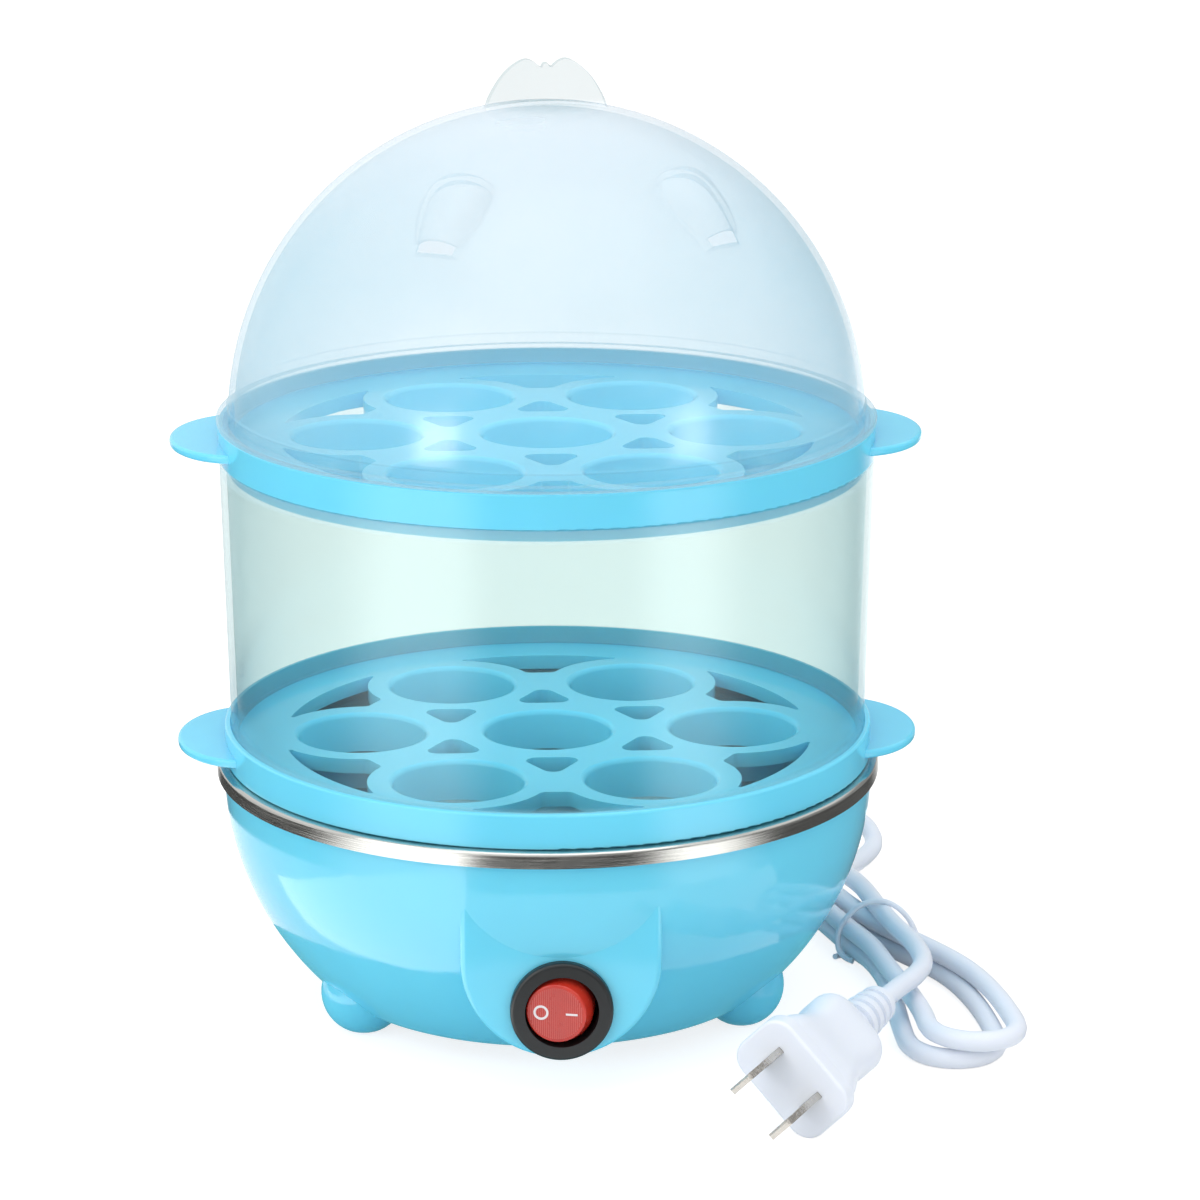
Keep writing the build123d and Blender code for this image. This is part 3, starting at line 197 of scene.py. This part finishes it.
def metal(name, color, roughness, stretch, scale, spread=0.5, depth=0.0004, anisotropic=0.0, turn=0.0):
    """Metal with a brushed, rolled or cast grain, by the stretch of its noise."""
    n = Nodes(name)
    shader = n.principled(color, roughness, Metallic=1.0, Anisotropic=anisotropic, Anisotropic_Rotation=turn)
    lines = n.noise(scale, 5, stretch)
    low = tuple(c * 0.86 for c in color)
    n.link(n.tint(n.ramp(lines, 0.3, 0.7, 0, 1), low, color), shader.inputs["Base Color"])
    gloss = n.ramp(lines, 0.25, 0.75, roughness * (1 - spread), roughness * (1 + spread))
    n.link(gloss, shader.inputs["Roughness"])
    n.link(n.bump(lines, 0.3, depth), shader.inputs["Normal"])
    return n.finish(shader.outputs[0])


def frosted_lid():
    """Natural polypropylene: milky, see-through, milkier where the wall is seen edge on, with painted light and shade
    by height.
    """
    n = Nodes("frosted_plastic")
    height = n.split()["Z"]
    # painted light and shade by height: bluish low down, where blue light off the trays falls, painted lighter over
    # the top, where the light from above falls, and a painted shade that greys the comb
    painted_light_by_height = n.tint(n.ramp(height, *PAINTED_LIGHT_Z, 0, 1), (0.46, 0.70, 0.79), (0.76, 0.835, 0.885))
    milk_with_painted_light = n.tint(n.ramp(height, *PAINTED_COMB_SHADE_Z, 0, 1), painted_light_by_height, (0.15, 0.35, 0.37))
    haze = n.noise(26, 2)
    shader = n.principled(milk_with_painted_light, n.ramp(haze, 0.3, 0.7, 0.19, 0.26))
    edge_on = n.ramp(n.facing(0.22), 0, 1, 0.165, 0.62)
    n.link(n.calc("ADD", edge_on, n.ramp(haze, 0.3, 0.7, -0.015, 0.015)), shader.inputs["Alpha"])
    n.link(n.bump(haze, 0.25, 0.004), shader.inputs["Normal"])
    return n.finish(shader.outputs[0])


def clear_ring():
    """Clear moulded ring: light tint, a slight haze, soft reflections, darker where the wall is edge on."""
    n = Nodes("clear_plastic")
    edge_on = n.ramp(n.facing(0.35), 0.12, 1.0, 0, 1)
    through = n.shader("BsdfTransparent", n.tint(edge_on, (0.895, 0.945, 0.932), (0.78, 0.86, 0.87)))
    height = n.split()["Z"]
    # share of haze: slight all over, more in the thick rims, top and bottom
    rims = n.calc("ADD", n.ramp(height, *RING_TOP_RIM_Z, 0, 0.20), n.ramp(height, *RING_LOW_RIM_Z, 0, 0.14))
    share = n.calc("ADD", n.ramp(n.noise(22, 2, (1, 1, 0.5)), 0.3, 0.7, 0.016, 0.028), rims)
    veiled = n.mix(share, through, n.shader("BsdfDiffuse", (0.66, 0.92, 1.0)))
    wave = n.noise(30, 2, (1, 1, 0.25))
    gloss = n.shader(
        "BsdfGlossy", (0.95, 0.98, 0.98),
        Roughness=n.ramp(wave, 0.3, 0.7, 0.14, 0.22), Normal=n.bump(wave, 0.15, 0.004),
    )
    return n.finish(n.mix(n.schlick(0.03, 0.5), veiled, gloss))


def red_lens():
    """Translucent red polycarbonate, uneven in depth."""
    n = Nodes("red_lens")
    color = n.tint(n.ramp(n.noise(160, 2), 0.3, 0.7, 0, 1), (0.50, 0.016, 0.010), (0.66, 0.045, 0.024))
    shader = n.principled(
        color, n.ramp(n.noise(600, 3), 0.3, 0.7, 0.16, 0.28), Coat_Weight=0.3,
        Subsurface_Weight=0.35, Subsurface_Radius=(0.004, 0.0006, 0.0004), Subsurface_Scale=0.6,
    )
    return n.finish(shader.outputs[0])


def soft_pvc(name, color):
    """Soft white PVC, as on a mains lead."""
    return moulded(
        name, color, 0.42, deep=0.96, wave=0.01, grain=0.12,
        Subsurface_Weight=0.15, Subsurface_Radius=(0.003, 0.003, 0.004), Subsurface_Scale=0.5,
    )


MATERIALS = {
    "blue_plastic": blue_plastic(),
    "frosted_plastic": frosted_lid(),
    "clear_plastic": clear_ring(),
    "black_plastic": moulded("black_plastic", (0.014, 0.016, 0.017), 0.36, grain=0.3),
    "red_lens": red_lens(),
    "white_pvc": soft_pvc("white_pvc", (0.83, 0.865, 0.94)),
    "pan_steel": metal(
        "pan_steel", (0.62, 0.62, 0.59), 0.20, (1, 1, 60), 60, spread=0.3, depth=0.0002, anisotropic=0.75, turn=0.25,
    ),
    "plug_metal": metal("plug_metal", (0.66, 0.63, 0.58), 0.22, (1, 1, 1), 900, spread=0.4),
    "brass_blade": metal("brass_blade", (0.75, 0.58, 0.28), 0.3, (40, 1, 1), 90),
    "zinc_steel": metal("zinc_steel", (0.62, 0.63, 0.64), 0.34, (1, 1, 1), 700),
    "cast_aluminium": metal("cast_aluminium", (0.62, 0.62, 0.63), 0.48, (1, 1, 1), 500, spread=0.3, depth=0.002),
    "ceramic": moulded("ceramic", (0.80, 0.76, 0.68), 0.7, grain=0.5),
    "lamp_glass": moulded("lamp_glass", (0.80, 0.42, 0.20), 0.08),
    "brown_wire": moulded("brown_wire", (0.12, 0.045, 0.02), 0.45),
    "blue_wire": moulded("blue_wire", (0.03, 0.10, 0.42), 0.45),
}
MARK_WHITE = moulded("mark_white", (0.86, 0.80, 0.80), 0.5, grain=0.3)
FACE_RED = moulded("face_red", (0.66, 0.10, 0.085), 0.3, deep=0.9, grain=0.3)

slot_of = {entry["node"]: entry["material_slot"] for entry in frame["record"]["subparts"]}
for name, node in nodes.items():
    node.data.materials.clear()
    node.data.materials.append(MATERIALS[slot_of[name]])


# ---------------------------------------------------------------- mesh helpers
def show(obj):
    bpy.context.scene.collection.objects.link(obj)
    return obj


def place(obj, mat, body):
    """Adds a piece of the object, riding on a body."""
    show(obj)
    obj.data.materials.append(mat)
    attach(obj, body)


def flat_mesh(name, verts, faces):
    """Flat-shaded mesh object, with its normals facing out."""
    mesh = bpy.data.meshes.new(name)
    mesh.from_pydata(verts, [], faces)
    mesh.validate()
    bm = bmesh.new()
    bm.from_mesh(mesh)
    bmesh.ops.recalc_face_normals(bm, faces=bm.faces)
    bm.to_mesh(mesh)
    bm.free()
    return bpy.data.objects.new(name, mesh)


def route_curve(name, points_mm, radius_mm):
    """Smooth NURBS cord through a route given in millimetres."""
    curve = bpy.data.curves.new(name, "CURVE")
    curve.dimensions = "3D"
    spline = curve.splines.new("NURBS")
    spline.points.add(len(points_mm) - 1)
    for point, (x, y, z) in zip(spline.points, points_mm):
        point.co = (x * MM, y * MM, z * MM, 1)
    spline.order_u = 3
    spline.use_endpoint_u = True
    spline.resolution_u = 10
    curve.bevel_depth = radius_mm * MM
    curve.bevel_resolution = 5
    curve.use_fill_caps = True
    return bpy.data.objects.new(name, curve)


# ---------------------------------------------------------------- mains lead, one length from bowl to plug
LEAD = [
    # out of the strain relief, down behind the bowl and round to the ground
    (0, 101, 24), (0, 113.5, 24), (3.4, 127, 21.4), (12.6, 137.6, 17.2), (26, 142.2, 12.6), (40, 139.4, 8.2),
    (50.6, 129.6, 4.6), (55.2, 116.6, 2.5), (55.4, 104, 2.4),
    # first strand forward, on the ground
    (56.0, 94, 2.4), (58.0, 82, 2.4), (62.6, 62, 2.4), (67.6, 42, 2.4), (72.2, 26, 2.4), (75.4, 14.5, 2.4),
    # lower front loop
    (78.6, 7, 2.4), (80.4, -3, 2.4), (81.0, -16, 2.4), (80.7, -28, 2.4), (80.5, -39, 2.4), (80.7, -49.6, 2.4),
    (84.4, -56.0, 2.4), (91.2, -58.4, 2.4), (98.0, -56.0, 2.4), (101.7, -49.6, 2.4), (101.4, -36, 2.4),
    (99.8, -21, 2.4), (96.8, -8, 2.4), (92.4, 2.0, 2.4),
    # back under the tie and along the ground
    (87.0, 10.5, 2.4), (81.8, 19.5, 2.4), (77.6, 29.5, 2.4), (73.6, 42, 2.4), (69.4, 58, 2.4), (66.6, 71, 2.4),
    # lower rear loop, over the incoming lead
    (68.4, 83.0, 2.4), (76.5, 97.7, 2.5), (74.6, 109.0, 3.3), (65.8, 116.4, 6.3), (54.2, 116.4, 7.9),
    (45.4, 109.0, 7.0), (43.4, 97.7, 6.2), (49.0, 86.2, 6.4), (53.8, 77.4, 7.1),
    # second strand forward, on top of the first
    (58.4, 68, 7.2), (61.8, 58, 7.2), (66.4, 42, 7.2), (71.2, 26, 7.2), (74.8, 14.5, 7.2),
    # upper front loop
    (78.6, 3, 7.2), (80.4, -10, 7.2), (82.2, -21, 7.2), (84.2, -31.5, 7.0), (85.2, -41.5, 7.0), (85.1, -51.6, 7.2),
    (88.8, -57.9, 7.4), (95.6, -60.4, 7.3), (102.4, -57.9, 7.1), (106.0, -51.6, 6.9), (105.2, -38, 6.5),
    (103.6, -25.5, 6.4), (100.4, -14.5, 6.8), (96.0, -5.5, 7.2), (91.2, 3, 7.2),
    # back on top of the returning strand
    (86.4, 11, 7.2), (81.4, 20, 7.2), (77.2, 30, 7.2), (73.2, 42, 7.2), (69.2, 58, 7.2), (65.4, 70, 7.2),
    # upper rear loop
    (61.0, 80.2, 7.2), (57.0, 90.1, 7.2), (58.9, 101.4, 7.2), (67.7, 108.8, 8.0), (79.2, 108.8, 8.4),
    (88.0, 101.4, 5.8), (90.0, 90.1, 3.5), (84.6, 79.2, 2.9), (79.6, 69.6, 3.8),
    # last strand, on top, through the tie to the plug
    (77.8, 58, 6.8), (78.2, 46, 9.6), (79.8, 34, 11.4), (81.4, 18, 12.0), (84.2, 4.1, 11.9), (87.4, -10.0, 12.2),
    (87.8, -22.5, 12.6), (84.6, -31.8, 13.0), (79.2, -40.2, 13.15), (74.0, -49.0, 13.15),
]
lead = route_curve("mains_lead", LEAD, 2.35)
place(lead, MATERIALS["white_pvc"], "base")
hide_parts("cord_lead", "cord_hank", "plug_lead")

TIE = [
    (70.6, 13.2, 1.0), (71.2, 14.2, 0.8), (73.4, 15.4, 0.75), (80.0, 14.6, 0.75), (86.0, 13.6, 0.75),
    (89.8, 12.6, 1.6), (90.8, 12.4, 5.0), (89.4, 12.6, 9.4), (86.4, 13.2, 13.2), (82.0, 13.8, 15.4),
    (77.2, 14.4, 14.2), (73.6, 14.8, 11.0), (71.4, 15.0, 7.0), (71.2, 14.0, 3.0), (72.6, 11.4, 1.2), (74.6, 9.8, 1.0),
]
tie = route_curve("wire_tie", TIE, 0.7)
place(tie, MATERIALS["white_pvc"], "base")
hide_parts("cord_tie")


# ---------------------------------------------------------------- marks and ribs on the rocker's face
rocker_low, rocker_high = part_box("switch_rocker")
SWITCH_Z = (rocker_low.z + rocker_high.z) / 2
PIVOT_Y = -0.06905
TILT = math.radians(-12.5)
FACE_Y = -0.0062            # face of the rocker, from its pivot
SUNK_MM = -0.2              # how deep marks and ribs are rooted in the face
MARK_MM, RIB_MM = 0.14, 0.07            # how far they stand proud
RIB_PITCH_MM, RIB_HALF_MM, RIB_SIDE = 0.44, 0.13, 13
RIBBED_RADIUS_MM, SHORTEST_RIB_MM = 6.0, 0.6


def rocker_point(x_mm, z_mm, proud_mm):
    """Point on the tipped rocker's face."""
    local = Vector((x_mm * MM, FACE_Y - proud_mm * MM, 0))
    turned = Matrix.Rotation(TILT, 4, "Z") @ local
    return Vector((turned.x, PIVOT_Y + turned.y, SWITCH_Z + z_mm * MM))


def ring_mark(name, cx, cz, outer, inner, steps=40):
    """Ring on the face, with a square section."""
    verts, faces = [], []
    for k in range(steps):
        a = 2 * math.pi * k / steps
        for radius, proud in ((inner, SUNK_MM), (inner, MARK_MM), (outer, MARK_MM), (outer, SUNK_MM)):
            verts.append(rocker_point(cx + radius * math.cos(a), cz + radius * math.sin(a), proud))
        here, there = 4 * k, 4 * ((k + 1) % steps)
        for side, after in ((0, 1), (1, 2), (2, 3), (3, 0)):
            faces.append((here + side, here + after, there + after, there + side))
    return flat_mesh(name, verts, faces)


def bars(name, spans, proud):
    """Bars on the face, each given as x0, x1, z0, z1."""
    verts, faces = [], []
    for x0, x1, z0, z1 in spans:
        base = len(verts)
        for height in (SUNK_MM, proud):
            for x, z in ((x0, z0), (x1, z0), (x1, z1), (x0, z1)):
                verts.append(rocker_point(x, z, height))
        for quad in ((0, 1, 2, 3), (4, 5, 6, 7), (0, 1, 5, 4), (1, 2, 6, 5), (2, 3, 7, 6), (3, 0, 4, 7)):
            faces.append(tuple(base + v for v in quad))
    return flat_mesh(name, verts, faces)


ribs = []
for step in range(-RIB_SIDE, RIB_SIDE + 1):
    x = step * RIB_PITCH_MM
    half = math.sqrt(max(0.0, RIBBED_RADIUS_MM ** 2 - x ** 2))
    if half > SHORTEST_RIB_MM:
        ribs.append((x - RIB_HALF_MM, x + RIB_HALF_MM, -half, half))
place(bars("rocker_ribs", ribs, RIB_MM), FACE_RED, "rocker")
place(ring_mark("rocker_off_mark", -3.4, 0.1, 1.70, 1.18), MARK_WHITE, "rocker")
place(bars("rocker_on_mark", [(2.2, 4.85, -0.23, 0.23)], MARK_MM), MARK_WHITE, "rocker")


# ---------------------------------------------------------------- studio
def light_switch(n, lit, shown):
    """shown for camera, glossy and transmission rays, lit for all others."""
    path = n.add("ShaderNodeLightPath").outputs
    seen = n.calc("MAXIMUM", path["Is Camera Ray"], path["Is Glossy Ray"])
    return n.mix(n.calc("MAXIMUM", seen, path["Is Transmission Ray"]), lit, shown)


world = bpy.data.worlds.new("studio")
bpy.context.scene.world = world
n = Nodes("studio", world, "ShaderNodeOutputWorld")
fill = n.shader("Background", (0.96, 0.98, 1.0), Strength=0.86)
back = n.shader("Background", (1, 1, 1), Strength=1.0)
n.finish(light_switch(n, fill, back))

floor = show(flat_mesh("floor", [(-3, -3, 0), (3, -3, 0), (3, 3, 0), (-3, 3, 0)], [(0, 1, 2, 3)]))
n = Nodes("floor_white")
matte = n.shader("BsdfDiffuse", (0.80, 0.81, 0.82))
bright = n.add("ShaderNodeAddShader")
n.link(n.shader("BsdfDiffuse", (0.44, 0.42, 0.41)), bright.inputs[0])
n.link(n.shader("Emission", (1, 1, 1), Strength=0.80), bright.inputs[1])
floor.data.materials.append(n.finish(light_switch(n, matte, bright.outputs[0])))

AIM = Vector((0.01228, -0.00064, 0.09622))      # what the camera and the lamps look at


def add_lamp(name, size, power, spot):
    """Square area lamp that shines down."""
    light = bpy.data.lights.new(name, "AREA")
    light.size = size
    light.energy = power
    lamp = show(bpy.data.objects.new(name, light))
    lamp.location = spot
    return lamp


def look_at_object(obj):
    obj.rotation_euler = (AIM - obj.location).to_track_quat("-Z", "Y").to_euler()


def softbox(name, azimuth, elevation, distance, width, height, power, color=(1, 1, 1)):
    """Area lamp that looks at the object. Azimuth 0 is the front, positive to the right."""
    a, e = math.radians(azimuth), math.radians(elevation)
    away = Vector((math.sin(a) * math.cos(e), -math.cos(a) * math.cos(e), math.sin(e)))
    lamp = add_lamp(name, width, power, away * distance + AIM)
    lamp.data.shape = "RECTANGLE"
    lamp.data.size_y = height
    lamp.data.color = color
    look_at_object(lamp)
    return lamp


def lit_only(lamp, node):
    """The lamp lights this node alone."""
    group = bpy.data.collections.new(lamp.name + "_receivers")
    group.objects.link(nodes[node])
    lamp.light_linking.receiver_collection = group


def hide_from(obj, *rays):
    """Rays of these kinds don't see the object."""
    for ray in rays:
        setattr(obj, "visible_" + ray, False)


# name, azimuth, elevation, distance, width, height, power and colour
softbox("key_left", -52, 28, 1.5, 0.9, 1.1, 5.0, (1.0, 0.99, 0.98))
softbox("key_right", 55, 22, 1.6, 0.6, 1.1, 0.8, (0.97, 0.985, 1.0))
softbox("top", 10, 78, 1.5, 1.4, 1.2, 7.0)

# Light that the thin translucent walls pass on to each tray, as a weak lamp over that tray.
for node, z, size, power in (("lower_tray", 0.122, 0.12, 0.040), ("upper_tray", 0.205, 0.08, 0.022)):
    lamp = add_lamp("fill_" + node, size, power, (0, 0, z))
    hide_from(lamp, "camera", "glossy", "transmission")
    lit_only(lamp, node)

# The two soft highlights on the lid.
for side, azimuth, power in (("left", -41, 17.0), ("right", 49, 13.0)):
    lamp = softbox("glint_" + side, azimuth, 5, 1.5, 0.36, 0.40, power)
    hide_from(lamp, "diffuse")
    lit_only(lamp, "dome_lid")


def add_card(name, verts, faces, material):
    """Card of the studio that only glossy surfaces see."""
    card = show(flat_mesh(name, verts, faces))
    card.data.materials.append(material)
    hide_from(card, "camera", "diffuse", "shadow", "transmission")


# The surround's brightness round the object, as stops of azimuth in degrees and strength: dark, with a bright
# window each side of the front and one behind on the right, and light straight behind.
BACK, DARK, WINDOW, REAR_WINDOW = 0.9, 0.08, 2.1, 1.6
STOPS = [
    (-180, BACK), (-150, BACK), (-138, DARK),
    (-80, DARK), (-50, WINDOW), (-35, WINDOW), (-18, DARK),
    (23, DARK), (38, WINDOW), (46, WINDOW), (70, DARK),
    (126, DARK), (158, REAR_WINDOW), (176, REAR_WINDOW), (179, BACK), (180, BACK),
]
FAR_LEFT, FAR_RIGHT = 0.95, 0.35        # strength far out, on the left and on the right
FADE_START, FADE_END = 1.0, 1.8         # distance over which it goes there


def surround_glow():
    """Material of the surround: STOPS by azimuth, which fade to the far strengths."""
    n = Nodes("surround_windows")
    point = n.split()
    azimuth = n.calc("ARCTAN2", point["X"], n.calc("MULTIPLY", point["Y"], -1.0))
    bands = n.add("ShaderNodeValToRGB")
    n.link(n.ramp(azimuth, -math.pi, math.pi, 0, 1), bands.inputs["Fac"])
    bands.color_ramp.interpolation = "EASE"
    stops = bands.color_ramp.elements
    for degrees, strength in STOPS:
        share = strength / WINDOW
        if abs(degrees) == 180:
            stop = stops[0 if degrees < 0 else -1]
        else:
            stop = stops.new((degrees + 180) / 360)
        stop.color = (share, share, share, 1)
    reach = n.add("ShaderNodeVectorMath", operation="LENGTH")
    n.link(n.coord, reach.inputs[0])
    far = n.ramp(point["X"], -1.0, 1.0, FAR_LEFT / WINDOW, FAR_RIGHT / WINDOW)
    glow = n.tint(n.ramp(reach.outputs["Value"], FADE_START, FADE_END, 0, 1), bands.outputs["Color"], far)
    return n.finish(n.shader("Emission", glow, Strength=WINDOW))


def surround(inner=0.16, outer=2.4, height=1.3, steps=96):
    """Ring of floor and the wall behind it."""
    verts, faces = [], []
    for k in range(steps):
        a = 2 * math.pi * k / steps
        for radius, z in ((inner, 0.0005), (outer, 0.0005), (outer, height)):
            verts.append((math.sin(a) * radius, -math.cos(a) * radius, z))
        here, there = 3 * k, 3 * ((k + 1) % steps)
        for part in (0, 1):
            faces.append((here + part, here + part + 1, there + part + 1, there + part))
    add_card("surround", verts, faces, surround_glow())


def floor_card(name, corners, z, strength, color=(1, 1, 1)):
    """Flat card on the floor."""
    n = Nodes(name)
    glow = n.finish(n.shader("Emission", color, Strength=strength))
    add_card(name, [(x, y, z) for x, y in corners], [tuple(range(len(corners)))], glow)


surround()
under = [(0.080 * math.cos(math.radians(6 * k)), 0.080 * math.sin(math.radians(6 * k))) for k in range(60)]
floor_card("shade_under", under, 0.0008, 0.5, (0.30, 0.90, 1.0))
floor_card("shade_right", [(0.075, -0.03), (0.20, -0.09), (0.22, 0.11), (0.09, 0.11)], 0.0006, 0.15)
patch = [(-0.030, -0.078), (-0.105, -0.215), (-0.137, -0.075), (-0.124, 0.004), (-0.090, -0.020), (-0.062, -0.052)]
floor_card("glow_left", patch, 0.0010, 3.0)

camera = show(bpy.data.objects.new("camera", bpy.data.cameras.new("camera")))
camera.data.sensor_width = 36
camera.data.lens = 121.66
camera.data.clip_end = 50
camera.location = (-0.0356, -0.9150, 0.3506)
look_at_object(camera)
bpy.context.scene.camera = camera

bpy.context.scene.view_settings.view_transform = "Standard"
